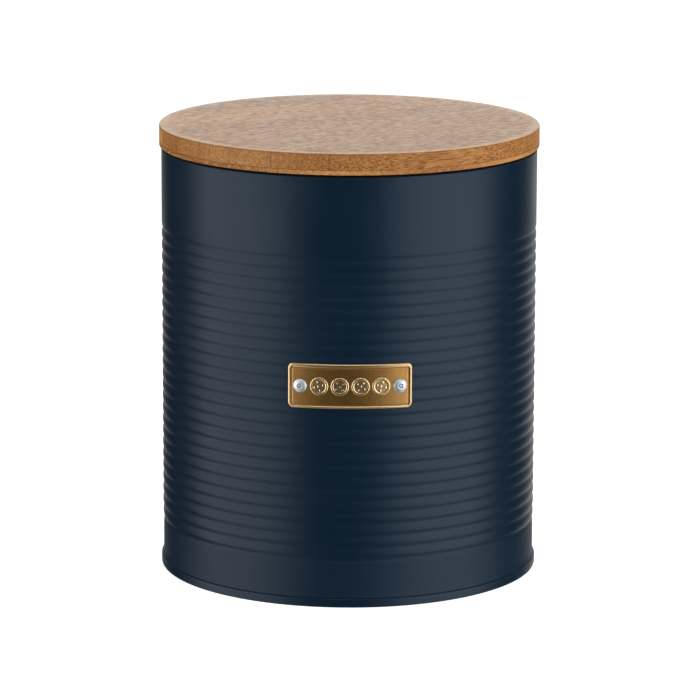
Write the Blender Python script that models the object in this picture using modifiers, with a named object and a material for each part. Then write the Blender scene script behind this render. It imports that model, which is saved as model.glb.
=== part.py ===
"""Cookie tin: a round ribbed steel canister with a riveted brass nameplate and a bamboo lid.

Metres, +Z up, front towards -Y. The origin is the middle of the base, on the plane the tin stands
on. The wall is rolled sheet with a curled mouth, double-seamed to a stamped bottom end. The lid is
a layer of bamboo staves glued across a thin ply, over a turned plug that carries a silicone seal.
The lid and the seal lift along +Z and turn about the tin's axis, where their parent empty stands.
"""

from math import cos, pi, radians, sin, sqrt

import bmesh
import bpy
from mathutils import Vector

# Rolled wall
TIN_RADIUS = 0.0841  # over the smooth band and the lands between the grooves
MOUTH_HEIGHT = 0.1913  # top of the curl
SHEET = 0.00024  # tinplate thickness, wall and bottom end
CURL_RADIUS = 0.00125  # the mouth is rolled inwards round an empty core
CURL_TURN = radians(300)
TOP_BAND = 0.0369  # mouth to the middle of the highest groove
BOTTOM_BAND = 0.0210  # smooth height that is kept above the rest plane
GROOVE_PITCH = 0.00532
GROOVE_DEPTH = 0.00045
BOTTOM_BAND_INSET = 0.0002

# Double seam and bottom end
SEAM_HEIGHT = 0.0040
SEAM_GAP = 0.0001  # between one layer of the seam and the next
HOOK_END_GAP = 0.0004  # past the end of each hook
SEAM_CORNER = 0.00015
PANEL_HEIGHT = 0.0039  # inside face of the middle panel
SHOULDER_HEIGHT = 0.0047  # inside face of the ledge round the panel
PANEL_INSET = 0.0160  # wall to the panel's edge
RING_INSET = 0.0330  # wall to the expansion ring
RING_WIDTH = 0.0050
RING_RISE = 0.0006
STEP_RUN = 0.0013  # how far a pressed step takes to rise

# Nameplate
PLATE_WIDTH = 0.0547  # along the arc
PLATE_HEIGHT = 0.01975
PLATE_MIDDLE = 0.0990  # above the rest plane
PLATE_THICKNESS = 0.0005
PLATE_CORNER = 0.0024
PLATE_GAP = 0.00015  # to the lands behind it
BORDER_WIDTH = 0.0011
EMBOSS = 0.0002
BISCUIT_COUNT = 4
BISCUIT_DIAMETER = 0.0080
BISCUIT_PITCH = 0.0090

# Blind rivets
RIVET_SPACING = 0.0437  # between the two, along the arc
RIVET_HEAD_RADIUS = 0.0030
RIVET_HEAD_RISE = 0.0010
RIVET_HEAD_EDGE = 0.00015
RIVET_SHANK_RADIUS = 0.0015
RIVET_HOLE_CLEARANCE = 0.0002
RIVET_BORE_RADIUS = 0.0010
RIVET_BULB_RADIUS = 0.0023
RIVET_BULB_LENGTH = 0.0022
RIVET_FIT = 0.0001  # under the head and behind the wall
PIN_CLEARANCE = 0.00015
PIN_RECESS = 0.00025
PIN_HEAD_RADIUS = 0.0014
PIN_HEAD_LENGTH = 0.0014

# Lid
LID_OVERHANG = 0.0009  # beyond the wall
LID_REST_GAP = 0.0003  # curl to the lid's underside
CROSS_PLY = 0.0020
STAVE_THICKNESS = 0.0073
GLUE_LINE = 0.0001
LID_EDGE = 0.0006
STAVE_WIDTH = 0.0184
STAVE_SHIFT = 0.0042  # of the middle stave, off the axis
NARROWEST_STAVE = 0.0080
STAVE_DIRECTION = radians(30)  # the grain's direction, from +X
PLUG_DEPTH = 0.0120
PLUG_CLEARANCE = 0.0014  # to the flats of the mouth
PLUG_CHAMFER = 0.0010
PLUG_FLANGE = 0.0015  # wood above the seal's groove

# Seal
SEAL_HEIGHT = 0.0045
SEAL_BAND = 0.0017  # thickness of the ring without its lips
SEAL_GROOVE_DEPTH = 0.0024
SEAL_CLEARANCE = 0.00015
SEAL_LIP_COUNT = 2
SEAL_LIP_ROOT = 0.0009
SEAL_LIP_TIP = 0.0004
SEAL_LIP_SLANT = 0.0005

# Fineness of the round pieces
SEGMENTS = 36
PLATE_SEGMENTS = 90
SMALL_SEGMENTS = 16
CURL_STEPS = 8
HEAD_STEPS = 4
CORNER_STEPS = 3
CUTTER_REACH = 0.0040  # how far a cutter runs past what it cuts
MERGE = 0.00001

# Sizes that follow
FLAT = cos(pi / SEGMENTS)  # radius at the middle of a side, over the radius at a corner
LOWER_RADIUS = TIN_RADIUS - BOTTOM_BAND_INSET
MOUTH_FLAT = (TIN_RADIUS - 2 * CURL_RADIUS) * FLAT
CHUCK_RADIUS = LOWER_RADIUS - SHEET - SEAM_GAP
COVER_HOOK_RADIUS = LOWER_RADIUS + SEAM_GAP + SHEET
BODY_HOOK_RADIUS = COVER_HOOK_RADIUS + SEAM_GAP
COVER_RADIUS = BODY_HOOK_RADIUS + SHEET + SEAM_GAP
BODY_BEND_HEIGHT = 2 * SHEET + SEAM_GAP
PLATE_INSIDE = TIN_RADIUS + PLATE_GAP
PLATE_FACE = PLATE_INSIDE + PLATE_THICKNESS
RIVET_ANGLE = RIVET_SPACING / 2 / PLATE_FACE
LID_RADIUS = TIN_RADIUS + LID_OVERHANG
LID_BOTTOM = MOUTH_HEIGHT + LID_REST_GAP
PLUG_RADIUS = MOUTH_FLAT - PLUG_CLEARANCE
SEAL_INSIDE = PLUG_RADIUS - SEAL_GROOVE_DEPTH + SEAL_CLEARANCE


def clear_scene():
    """Removes every object, so that the script starts from nothing."""
    for obj in list(bpy.data.objects):
        bpy.data.objects.remove(obj, do_unlink=True)


def new_collection(name):
    collection = bpy.data.collections.new(name)
    bpy.context.scene.collection.children.link(collection)
    return collection


def material(name, colour, roughness, metallic):
    """A plain Principled material with the real piece's colour, roughness and metallic value."""
    made = bpy.data.materials.new(name)
    made.use_nodes = True
    shader = made.node_tree.nodes["Principled BSDF"]
    shader.inputs["Base Color"].default_value = (*colour, 1.0)
    shader.inputs["Roughness"].default_value = roughness
    shader.inputs["Metallic"].default_value = metallic
    made.diffuse_color = (*colour, 1.0)
    return made


def place(name, mesh, finish, parent=None):
    """Makes an object of the mesh in the collection of parts."""
    obj = bpy.data.objects.new(name, mesh)
    PARTS.objects.link(obj)
    mesh.materials.append(finish)
    mesh.shade_smooth()
    obj.parent = parent
    return obj


def place_cutter(name, mesh):
    obj = bpy.data.objects.new(name, mesh)
    CUTTERS.objects.link(obj)
    obj.hide_render = True
    obj.display_type = "WIRE"
    return obj


def profile_mesh(name, points, closed):
    """A chain of edges through (radius, height) points at +X."""
    mesh = bpy.data.meshes.new(name)
    edges = [(i, i + 1) for i in range(len(points) - 1)]
    if closed:
        edges.append((len(points) - 1, 0))
    mesh.from_pydata([(r, 0.0, z) for r, z in points], edges, [])
    return mesh


def add_screw(obj, segments):
    """Turns the profile once round the object's Z axis."""
    screw = obj.modifiers.new("Screw", "SCREW")
    screw.steps = segments
    screw.render_steps = segments
    screw.use_merge_vertices = True
    screw.merge_threshold = MERGE
    return obj


def turned(name, points, finish, closed=False, segments=SEGMENTS, parent=None):
    """A turned solid: its profile runs down the outer side, from top to bottom."""
    obj = place(name, profile_mesh(name, points, closed), finish, parent)
    return add_screw(obj, segments)


def back_face(path):
    """The other face of a sheet whose outer face runs along the path, one thickness behind it."""
    points = [Vector(point) for point in path]
    normals = []
    for first, second in zip(points, points[1:]):
        along = (second - first).normalized()
        normals.append(Vector((-along.y, along.x)))
    back = []
    for i, point in enumerate(points):
        before = normals[max(i - 1, 0)]
        after = normals[min(i, len(normals) - 1)]
        back.append(tuple(point - (before + after) * SHEET / (1 + before.dot(after))))
    return back


def pressed_sheet(name, path, finish, parent=None):
    """Turned sheet metal of even thickness, closed at the axis where its path starts there."""
    profile = [*path, *reversed(back_face(path))]
    return turned(name, profile, finish, closed=path[0][0] > 0, parent=parent)


def combine(obj, other, operation):
    """Cuts or intersects obj with another mesh object."""
    boolean = obj.modifiers.new(f"{operation.title()} {other.name}", "BOOLEAN")
    boolean.operation = operation
    boolean.object = other
    boolean.solver = "EXACT"


def box_mesh(name, size, corner=0.0):
    """A box of the given sizes, its four edges along Y rounded to the corner radius."""
    bm = bmesh.new()
    bmesh.ops.create_cube(bm, size=1.0)
    bmesh.ops.scale(bm, vec=size, verts=bm.verts)
    if corner:
        along_y = [e for e in bm.edges if abs(e.verts[0].co.y - e.verts[1].co.y) > size[1] / 2]
        bmesh.ops.bevel(
            bm, geom=along_y, offset=corner, segments=CORNER_STEPS, profile=0.5, affect="EDGES"
        )
    mesh = bpy.data.meshes.new(name)
    bm.to_mesh(mesh)
    bm.free()
    return mesh


def cylinder_mesh(name, radius, length):
    bm = bmesh.new()
    bmesh.ops.create_cone(
        bm, cap_ends=True, segments=SMALL_SEGMENTS, radius1=radius, radius2=radius, depth=length
    )
    mesh = bpy.data.meshes.new(name)
    bm.to_mesh(mesh)
    bm.free()
    return mesh


def face_outwards(obj, angle, radius):
    """Stands obj's own +Z straight out of the wall, at an angle right of the front."""
    obj.location = (radius * sin(angle), -radius * cos(angle), PLATE_MIDDLE)
    obj.rotation_euler = (radians(90), 0.0, angle)


def groove_heights():
    """Middles of the grooves, from the top down, as many as the ribbed band holds."""
    count = int((MOUTH_HEIGHT - TOP_BAND - BOTTOM_BAND) / GROOVE_PITCH) + 1
    return [MOUTH_HEIGHT - TOP_BAND - i * GROOVE_PITCH for i in range(count)]


def wall_path():
    """Outer face of the wall: from the curl's inner end over the mouth and down to the body hook."""
    points = []
    for step in range(CURL_STEPS + 1):
        angle = CURL_TURN * (1 - step / CURL_STEPS)
        radius = TIN_RADIUS - CURL_RADIUS + CURL_RADIUS * cos(angle)
        points.append((radius, MOUTH_HEIGHT - CURL_RADIUS + CURL_RADIUS * sin(angle)))
    heights = groove_heights()
    points.append((TIN_RADIUS, heights[0] + GROOVE_PITCH / 2))
    for height in heights:
        land = LOWER_RADIUS if height == heights[-1] else TIN_RADIUS
        points.append((TIN_RADIUS - GROOVE_DEPTH, height))
        points.append((land, height - GROOVE_PITCH / 2))
    points.append((LOWER_RADIUS, BODY_BEND_HEIGHT))
    points.append((BODY_HOOK_RADIUS, BODY_BEND_HEIGHT))
    points.append((BODY_HOOK_RADIUS, SEAM_HEIGHT - SHEET - HOOK_END_GAP))
    return points


def make_wall(finish, parent, cutters):
    wall = pressed_sheet("body_wall", wall_path(), finish, parent)
    for cutter in cutters:
        combine(wall, cutter, "DIFFERENCE")


def make_base_end(finish, parent):
    """The stamped bottom end: panel, ring, ledge, chuck wall, and the seam's outer layers."""
    ring = LOWER_RADIUS - RING_INSET
    panel = LOWER_RADIUS - PANEL_INSET
    ledge_corner = 4 * SHEET
    seam_roof = SEAM_HEIGHT - SHEET
    path = [
        (0.0, PANEL_HEIGHT),
        (ring - RING_WIDTH / 2 - STEP_RUN, PANEL_HEIGHT),
        (ring - RING_WIDTH / 2, PANEL_HEIGHT + RING_RISE),
        (ring + RING_WIDTH / 2, PANEL_HEIGHT + RING_RISE),
        (ring + RING_WIDTH / 2 + STEP_RUN, PANEL_HEIGHT),
        (panel, PANEL_HEIGHT),
        (panel + STEP_RUN, SHOULDER_HEIGHT),
        (CHUCK_RADIUS - ledge_corner, SHOULDER_HEIGHT),
        (CHUCK_RADIUS, SHOULDER_HEIGHT - ledge_corner),
        (CHUCK_RADIUS, SHEET),
        (COVER_RADIUS - SEAM_CORNER, SHEET),
        (COVER_RADIUS, SHEET + SEAM_CORNER),
        (COVER_RADIUS, seam_roof - SEAM_CORNER),
        (COVER_RADIUS - SEAM_CORNER, seam_roof),
        (COVER_HOOK_RADIUS, seam_roof),
        (COVER_HOOK_RADIUS, BODY_BEND_HEIGHT + HOOK_END_GAP),
    ]
    pressed_sheet("base_end", path, finish, parent)


def ring_cutter(name, inside, outside, height):
    """A turned band round the wall, which rounded boxes cut to a plate's outline."""
    low = PLATE_MIDDLE - height / 2
    high = PLATE_MIDDLE + height / 2
    points = [(inside, high), (outside, high), (outside, low), (inside, low)]
    return add_screw(place_cutter(name, profile_mesh(name, points, True)), PLATE_SEGMENTS)


def plate_outline(name, inset):
    """A rounded box through the front of the wall, as large as the plate less an inset."""
    half_angle = PLATE_WIDTH / 2 / PLATE_FACE
    size = (
        2 * (PLATE_FACE * sin(half_angle) - inset),
        TIN_RADIUS,
        PLATE_HEIGHT - 2 * inset,
    )
    outline = place_cutter(name, box_mesh(name, size, PLATE_CORNER - inset))
    outline.location = (0.0, -TIN_RADIUS, PLATE_MIDDLE)
    return outline


def make_nameplate(finish, parent, cutters):
    """A curved plate with a raised border and a row of raised round biscuits on its field."""
    high = PLATE_FACE + EMBOSS
    tall = PLATE_HEIGHT + 2 * CUTTER_REACH
    field = ring_cutter("plate_field", PLATE_FACE, high + CUTTER_REACH, tall)
    combine(field, plate_outline("field_outline", BORDER_WIDTH), "INTERSECT")
    for i in range(BISCUIT_COUNT):
        biscuit = place_cutter(
            f"biscuit_{i + 1}",
            cylinder_mesh(f"biscuit_{i + 1}", BISCUIT_DIAMETER / 2, 4 * CUTTER_REACH),
        )
        offset = (i - (BISCUIT_COUNT - 1) / 2) * BISCUIT_PITCH
        face_outwards(biscuit, offset / PLATE_FACE, PLATE_FACE)
        combine(field, biscuit, "DIFFERENCE")
    low_edge = PLATE_MIDDLE - tall / 2
    high_edge = PLATE_MIDDLE + tall / 2
    band = [
        (PLATE_INSIDE, high_edge),
        (high, high_edge),
        (high, low_edge),
        (PLATE_INSIDE, low_edge),
    ]
    plate = turned("nameplate", band, finish, True, PLATE_SEGMENTS, parent)
    combine(plate, plate_outline("plate_outline", 0.0), "INTERSECT")
    combine(plate, field, "DIFFERENCE")
    for cutter in cutters:
        combine(plate, cutter, "DIFFERENCE")


def rivet_holes():
    """Two cutters that drill the rivets' holes through the plate and the wall."""
    holes = []
    for side, sign in (("left", -1), ("right", 1)):
        name = f"hole_{side}"
        radius = RIVET_SHANK_RADIUS + RIVET_HOLE_CLEARANCE
        hole = place_cutter(name, cylinder_mesh(name, radius, 2 * CUTTER_REACH))
        face_outwards(hole, sign * RIVET_ANGLE, TIN_RADIUS)
        holes.append(hole)
    return holes


def grip_length():
    """From the plate's face to the back of the grooved wall, where the blind bulb presses."""
    return PLATE_FACE - (TIN_RADIUS - SHEET / FLAT - GROOVE_DEPTH) * FLAT


def sleeve_profile():
    """The rivet's sleeve: domed head, shank and blind bulb round a bore."""
    dome_radius = (RIVET_HEAD_RADIUS**2 + RIVET_HEAD_RISE**2) / (2 * RIVET_HEAD_RISE)
    edge = RIVET_FIT + RIVET_HEAD_EDGE
    dome_middle = edge + RIVET_HEAD_RISE - dome_radius
    points = []
    for step in range(HEAD_STEPS + 1):
        share = step / HEAD_STEPS
        radius = RIVET_BORE_RADIUS + (RIVET_HEAD_RADIUS - RIVET_BORE_RADIUS) * share
        points.append((radius, dome_middle + sqrt(dome_radius**2 - radius**2)))
    bulb = -grip_length() - RIVET_FIT
    points += [
        (RIVET_HEAD_RADIUS, RIVET_FIT),
        (RIVET_SHANK_RADIUS, RIVET_FIT),
        (RIVET_SHANK_RADIUS, bulb),
        (RIVET_BULB_RADIUS, bulb),
        (RIVET_BULB_RADIUS, bulb - RIVET_BULB_LENGTH / 2),
        (RIVET_SHANK_RADIUS, bulb - RIVET_BULB_LENGTH),
        (RIVET_BORE_RADIUS, bulb - RIVET_BULB_LENGTH),
    ]
    return points


def pin_profile():
    """The broken stem left in the sleeve's bore, with its head behind the bulb."""
    radius = RIVET_BORE_RADIUS - PIN_CLEARANCE
    top = sleeve_profile()[0][1] - PIN_RECESS
    neck = -grip_length() - RIVET_FIT - RIVET_BULB_LENGTH - RIVET_FIT
    return [
        (0.0, top),
        (radius, top),
        (radius, neck),
        (PIN_HEAD_RADIUS, neck),
        (PIN_HEAD_RADIUS, neck - PIN_HEAD_LENGTH / 2),
        (radius, neck - PIN_HEAD_LENGTH),
        (0.0, neck - PIN_HEAD_LENGTH),
    ]


def make_rivets(sleeve_finish, pin_finish, parent):
    for side, sign in (("left", -1), ("right", 1)):
        sleeve = turned(
            f"rivet_{side}", sleeve_profile(), sleeve_finish, True, SMALL_SEGMENTS, parent
        )
        pin = turned(
            f"rivet_mandrel_{side}", pin_profile(), pin_finish, False, SMALL_SEGMENTS, parent
        )
        face_outwards(sleeve, sign * RIVET_ANGLE, PLATE_FACE)
        face_outwards(pin, sign * RIVET_ANGLE, PLATE_FACE)


def disc_profile(low, high, round_low, round_high):
    """Half a section of a round board whose top and bottom edges are eased."""
    corner = LID_EDGE * (1 - sqrt(0.5))
    points = [(0.0, high)]
    if round_high:
        points += [
            (LID_RADIUS - LID_EDGE, high),
            (LID_RADIUS - corner, high - corner),
            (LID_RADIUS, high - LID_EDGE),
        ]
    else:
        points.append((LID_RADIUS, high))
    if round_low:
        points += [
            (LID_RADIUS, low + LID_EDGE),
            (LID_RADIUS - corner, low + corner),
            (LID_RADIUS - LID_EDGE, low),
        ]
    else:
        points.append((LID_RADIUS, low))
    points.append((0.0, low))
    return points


def stave_joints():
    """Where the glue joints between staves cross the lid, measured from its axis."""
    furthest = LID_RADIUS - NARROWEST_STAVE
    reach = int(LID_RADIUS / STAVE_WIDTH) + 1
    places = [STAVE_SHIFT + (i + 0.5) * STAVE_WIDTH for i in range(-reach - 1, reach + 1)]
    return [place for place in places if abs(place) < furthest]


def make_staves(finish, parent):
    """The lid's upper layer: parallel staves, cut from one round board."""
    low = CROSS_PLY + GLUE_LINE
    high = low + STAVE_THICKNESS
    edges = [-LID_RADIUS - CUTTER_REACH, *stave_joints(), LID_RADIUS + CUTTER_REACH]
    for i in range(len(edges) - 1):
        first = edges[i] + GLUE_LINE / 2
        last = edges[i + 1] - GLUE_LINE / 2
        stave = turned(
            f"lid_stave_{i + 1}", disc_profile(low, high, False, True), finish, parent=parent
        )
        size = (3 * LID_RADIUS, last - first, STAVE_THICKNESS + 2 * CUTTER_REACH)
        strip = place_cutter(f"strip_{i + 1}", box_mesh(f"strip_{i + 1}", size))
        middle = (first + last) / 2
        strip.location = (
            middle * sin(STAVE_DIRECTION),
            -middle * cos(STAVE_DIRECTION),
            LID_BOTTOM + (low + high) / 2,
        )
        strip.rotation_euler = (0.0, 0.0, STAVE_DIRECTION)
        combine(stave, strip, "INTERSECT")


def make_cross_ply(finish, parent):
    turned("lid_cross_ply", disc_profile(0.0, CROSS_PLY, True, False), finish, parent=parent)


def make_plug(finish, parent):
    """The turned board under the lid, grooved for the seal."""
    top = -GLUE_LINE
    bottom = top - PLUG_DEPTH
    groove_floor = SEAL_INSIDE * FLAT - SEAL_CLEARANCE
    groove_top = top - PLUG_FLANGE
    groove_bottom = groove_top - SEAL_HEIGHT - 2 * SEAL_CLEARANCE
    points = [
        (0.0, top),
        (PLUG_RADIUS, top),
        (PLUG_RADIUS, groove_top),
        (groove_floor, groove_top),
        (groove_floor, groove_bottom),
        (PLUG_RADIUS, groove_bottom),
        (PLUG_RADIUS, bottom + PLUG_CHAMFER),
        (PLUG_RADIUS - PLUG_CHAMFER, bottom),
        (0.0, bottom),
    ]
    turned("lid_plug", points, finish, parent=parent)


def make_seal(finish, parent):
    """The silicone ring: a band in the plug's groove and lips that meet the curled mouth."""
    top = -GLUE_LINE - PLUG_FLANGE - SEAL_CLEARANCE
    band = SEAL_INSIDE + SEAL_BAND
    tip = MOUTH_FLAT - SEAL_CLEARANCE
    points = [(SEAL_INSIDE, top), (band, top)]
    for i in range(SEAL_LIP_COUNT):
        root = top - (i + 0.5) * SEAL_HEIGHT / SEAL_LIP_COUNT
        points += [
            (band, root + SEAL_LIP_ROOT / 2),
            (tip, root + SEAL_LIP_SLANT + SEAL_LIP_TIP / 2),
            (tip, root + SEAL_LIP_SLANT - SEAL_LIP_TIP / 2),
            (band, root - SEAL_LIP_ROOT / 2),
        ]
    points += [(band, top - SEAL_HEIGHT), (SEAL_INSIDE, top - SEAL_HEIGHT)]
    turned("lid_seal", points, finish, closed=True, parent=parent)


def make_axis(name, height):
    """An empty on the tin's axis, which carries pieces that stay together."""
    empty = bpy.data.objects.new(name, None)
    PARTS.objects.link(empty)
    empty.location = (0.0, 0.0, height)
    return empty


clear_scene()
PARTS = new_collection("cookie_tin")
CUTTERS = new_collection("cutters")


def main():
    navy = material("navy_paint", (0.012, 0.030, 0.058), 0.42, 0.0)
    brass = material("brass", (0.62, 0.42, 0.17), 0.34, 1.0)
    alloy = material("rivet_alloy", (0.80, 0.81, 0.83), 0.32, 1.0)
    steel = material("mandrel_steel", (0.45, 0.46, 0.48), 0.45, 1.0)
    bamboo = material("bamboo", (0.52, 0.30, 0.14), 0.55, 0.0)
    silicone = material("silicone", (0.82, 0.82, 0.80), 0.50, 0.0)

    tin_axis = make_axis("tin_axis", 0.0)
    lid_axis = make_axis("lid_axis", LID_BOTTOM)
    holes = rivet_holes()
    make_wall(navy, tin_axis, holes)
    make_base_end(navy, tin_axis)
    make_nameplate(brass, tin_axis, holes)
    make_rivets(alloy, steel, tin_axis)
    make_seal(silicone, lid_axis)
    make_plug(bamboo, lid_axis)
    make_cross_ply(bamboo, lid_axis)
    make_staves(bamboo, lid_axis)


main()
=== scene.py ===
"""The cookie tin's looks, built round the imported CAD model: satin navy tin, brass plate, bamboo lid."""

from math import asin, atan2, ceil, cos, hypot, pi, radians, sin, sqrt, tan

import bmesh
import bpy
from mathutils import Matrix, Vector


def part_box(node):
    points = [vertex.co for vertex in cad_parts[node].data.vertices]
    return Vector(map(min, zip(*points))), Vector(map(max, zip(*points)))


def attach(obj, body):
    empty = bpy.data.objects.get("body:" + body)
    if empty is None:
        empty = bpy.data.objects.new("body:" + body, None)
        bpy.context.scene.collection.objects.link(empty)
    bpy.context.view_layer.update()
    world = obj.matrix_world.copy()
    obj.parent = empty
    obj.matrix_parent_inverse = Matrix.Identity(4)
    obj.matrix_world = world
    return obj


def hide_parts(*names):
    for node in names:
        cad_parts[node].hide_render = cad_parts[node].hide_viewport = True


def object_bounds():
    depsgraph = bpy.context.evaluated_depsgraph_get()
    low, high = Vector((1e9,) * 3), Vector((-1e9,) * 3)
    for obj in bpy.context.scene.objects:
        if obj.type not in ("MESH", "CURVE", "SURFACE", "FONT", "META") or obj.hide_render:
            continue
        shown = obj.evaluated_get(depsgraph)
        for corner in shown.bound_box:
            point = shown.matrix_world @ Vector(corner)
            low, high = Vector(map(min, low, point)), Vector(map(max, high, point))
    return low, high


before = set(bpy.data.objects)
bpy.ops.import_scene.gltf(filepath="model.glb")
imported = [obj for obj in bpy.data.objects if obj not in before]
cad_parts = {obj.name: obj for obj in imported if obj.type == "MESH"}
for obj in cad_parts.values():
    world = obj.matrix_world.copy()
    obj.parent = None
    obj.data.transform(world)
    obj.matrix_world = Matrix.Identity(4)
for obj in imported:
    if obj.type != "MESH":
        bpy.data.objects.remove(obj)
CAD_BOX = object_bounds()
MM = 0.001

# Sizes read from the frame
LID_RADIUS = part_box("lid_cross_ply")[1].x
LID_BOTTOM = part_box("lid_cross_ply")[0].z
LID_TOP = CAD_BOX[1].z
MOUTH_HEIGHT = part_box("body_wall")[1].z
PLY_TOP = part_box("lid_cross_ply")[1].z
PLATE_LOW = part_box("nameplate")[0].z
PLATE_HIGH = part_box("nameplate")[1].z
PLATE_HALF_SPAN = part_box("nameplate")[1].x
SEAL_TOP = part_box("lid_seal")[1].z
SEAL_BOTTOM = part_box("lid_seal")[0].z
SEAL_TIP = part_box("lid_seal")[1].x
PLUG_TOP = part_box("lid_plug")[1].z
PLUG_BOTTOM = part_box("lid_plug")[0].z
PLUG_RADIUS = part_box("lid_plug")[1].x
SEAM_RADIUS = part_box("base_end")[1].x

# Sheet metal
TIN_RADIUS = LID_RADIUS - 0.9 * MM
SHEET = 0.24 * MM
CURL_RADIUS = 1.25 * MM
CURL_TURN = radians(300)
TOP_BAND = 36.9 * MM
BOTTOM_BAND = 21.0 * MM
GROOVE_PITCH = 5.32 * MM
GROOVE_DEPTH = 0.45 * MM
GROOVE_HALF = 2.1 * MM
STEP_IN_START = 0.96
LOWER_RADIUS = TIN_RADIUS - 0.2 * MM
LAYER_GAP = 0.1 * MM
SEAM_HEIGHT = 4.0 * MM
SEAM_BEND = 0.15 * MM
WELD_HALF = 0.7 * MM
WELD_RISE = 0.09 * MM
WELD_CLEAR = 0.01

# Bottom end
BASE_HEIGHT = 3.9 * MM
PANEL_INSET = 16.0 * MM
PANEL_SLOPE = 1.3 * MM
PANEL_RISE = 0.8 * MM
RING_INSET = 33.0 * MM
RING_INNER_HALF = 2.5 * MM
RING_OUTER_HALF = 3.8 * MM
RING_RISE = 0.6 * MM
HOOK_END = 0.98 * MM

# Nameplate and rivets
PLATE_MIDDLE = (PLATE_LOW + PLATE_HIGH) / 2
PLATE_BACK = TIN_RADIUS + 0.15 * MM
PLATE_SHEET = 0.5 * MM
PLATE_CORNER = 2.4 * MM
PLATE_CELL = 0.125 * MM
LIP_HEIGHT = 0.2 * MM
LIP_WIDTH = 1.55 * MM
LIP_SLOPE = 0.6 * MM
LIP_DROP = 0.3 * MM
PRESSED_DEPTH = 0.13 * MM
PRESSED_INSET = 0.2 * MM
PRESSED_HALF = 0.45 * MM
EDGE_FALL = 0.3 * MM
BISCUIT_COUNT = 4
BISCUIT_RADIUS = 4.0 * MM
BISCUIT_PITCH = 9.0 * MM
BISCUIT_RIM = 1.0 * MM
BISCUIT_FACE = 0.3
SCALLOP_COUNT = 16
SCALLOP_DEPTH = 0.07 * MM
RIM_SLOPE_IN = 0.22 * MM
RIM_SLOPE_OUT = 0.12 * MM
CHIP_COUNT = 4
CHIP_HALF = 0.62 * MM
CHIP_REACH = 1.9 * MM
MIDDLE_CHIP_REACH = 0.25 * MM
CHIP_RISE = 0.7
CHIP_TURN = 1.9
RIVET_SPACING = 43.7 * MM
RIVET_HEAD = 3.0 * MM
RIVET_RISE = 1.0 * MM
RIVET_BORE = 0.9 * MM
RIVET_SHANK = 1.5 * MM
RIVET_AROUND = 64
HEAD_STEPS = 12

# What the plate's own sizes come to
PLATE_FIELD = PLATE_BACK + PLATE_SHEET
PLATE_HALF_ARC = PLATE_FIELD * asin(PLATE_HALF_SPAN / PLATE_FIELD)
PLATE_HALF_HEIGHT = (PLATE_HIGH - PLATE_LOW) / 2

# Lid
STAVE_WIDTH = 18.4 * MM
STAVE_SHIFT = 4.2 * MM
NARROWEST_STAVE = 8.0 * MM
GRAIN_ANGLE = radians(30)
STAVE_GAP = 0.03 * MM
LID_TOP_EDGE = 0.6 * MM
LID_LOW_EDGE = 0.35 * MM
GLUE_HALF = 0.02 * MM
SEAL_ROOM = 0.15 * MM
SEAL_SEAT = 2.6 * MM
SEAL_INSET = 2.25 * MM
SEAL_BAND = 1.7 * MM
SEAL_LIP_ROOT = 0.45 * MM
PLUG_CHAMFER = 1.0 * MM

# Fineness
AROUND = 240
LID_AROUND = 360
EDGE_STEPS = 6
OUTER_CURL_STEPS = 20
INNER_CURL_STEPS = 16
OUTER_GROOVE_PLACES = (-1, -0.7, -0.35, 0, 0.35, 0.7, 1, 1.25)
INNER_GROOVE_PLACES = (-1, -0.5, 0, 0.5, 1)
STRAIGHT_ENOUGH = radians(4)
ARC_SHARE = 0.45
MERGE_DISTANCE = 0.001 * MM
ON_OUTLINE = 1e-9


# ---------------------------------------------------------------- shapes


def smooth_object(name, vertices, faces, material, body, replaced, angle=35):
    """A smooth-shaded mesh piece that stands for a CAD node."""
    mesh = bpy.data.meshes.new(name)
    mesh.from_pydata(vertices, [], faces)
    finish_mesh(name, mesh, material, body, replaced, angle)


def finish_mesh(name, mesh, material, body, replaced, angle):
    """Makes the mesh an object, sharp over the given angle in degrees, and ties it to the frame."""
    mesh.validate()
    mesh.shade_smooth()
    mesh.set_sharp_from_angle(angle=radians(angle))
    mesh.materials.append(material)
    obj = bpy.data.objects.new(name, mesh)
    bpy.context.scene.collection.objects.link(obj)
    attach(obj, body)
    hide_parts(*replaced)


def even_angles(count):
    return [2 * pi * i / count for i in range(count)]


def turned_parts(profile, angles, closed, ripple=None):
    """Vertices and faces of a profile turned round Z. Its outer side runs from top to bottom."""
    vertices = []
    rings = []
    for radius, height in profile:
        if radius == 0.0:
            rings.append([len(vertices)] * len(angles))
            vertices.append((0.0, 0.0, height))
            continue
        start = len(vertices)
        for angle in angles:
            out = radius + (ripple(angle, height) if ripple else 0.0)
            vertices.append((out * cos(angle), out * sin(angle), height))
        rings.append(list(range(start, start + len(angles))))
    faces = []
    count = len(angles)
    pairs = list(zip(rings, rings[1:]))
    if closed:
        pairs.append((rings[-1], rings[0]))
    for upper, lower in pairs:
        for i in range(count):
            j = (i + 1) % count
            corners = [upper[i], lower[i], lower[j], upper[j]]
            faces.append(list(dict.fromkeys(corners)))
    return vertices, faces


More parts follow.
